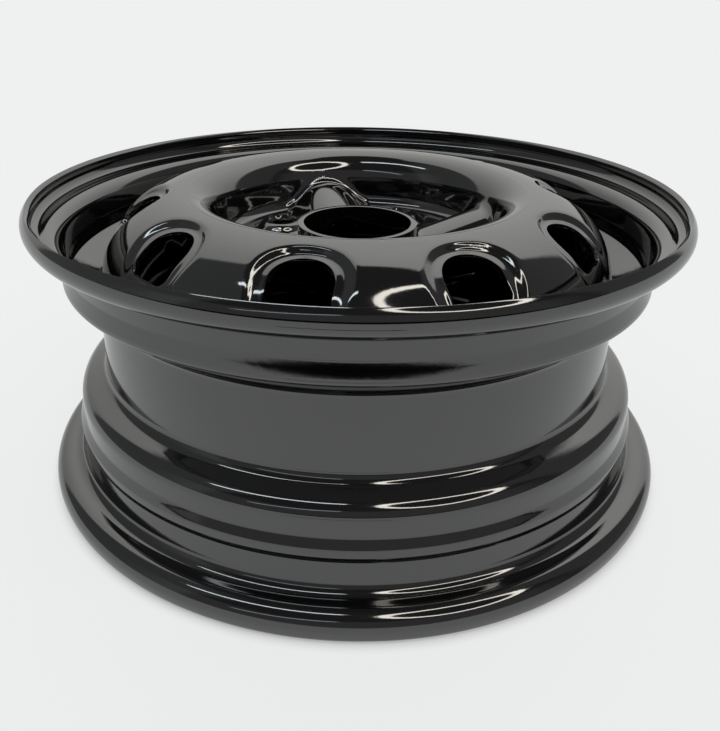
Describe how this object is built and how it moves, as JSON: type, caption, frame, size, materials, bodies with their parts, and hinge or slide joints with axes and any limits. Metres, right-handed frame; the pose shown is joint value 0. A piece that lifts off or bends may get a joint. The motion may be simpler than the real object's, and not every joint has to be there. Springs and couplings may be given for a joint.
{
  "type": "steel road wheel",
  "caption": "Pressed steel road wheel: a rolled drop-centre rim with a stamped, ventilated disc welded into its well, for a bolted hub and a tubeless tyre.",
  "frame": {"origin": "on the axle line, at the plane of the inboard flange lip that the wheel rests on", "axes": "+Z along the axle line towards the outboard face; +X through a bolt hole and a window"},
  "size_m": [0.3894, 0.3892, 0.1728],
  "materials": {
    "gloss_black": "gloss black paint over steel"
  },
  "bodies": {
    "root": {"rim": "gloss_black", "disc": "gloss_black", "disc_welds": "gloss_black"}
  },
  "joints": []
}
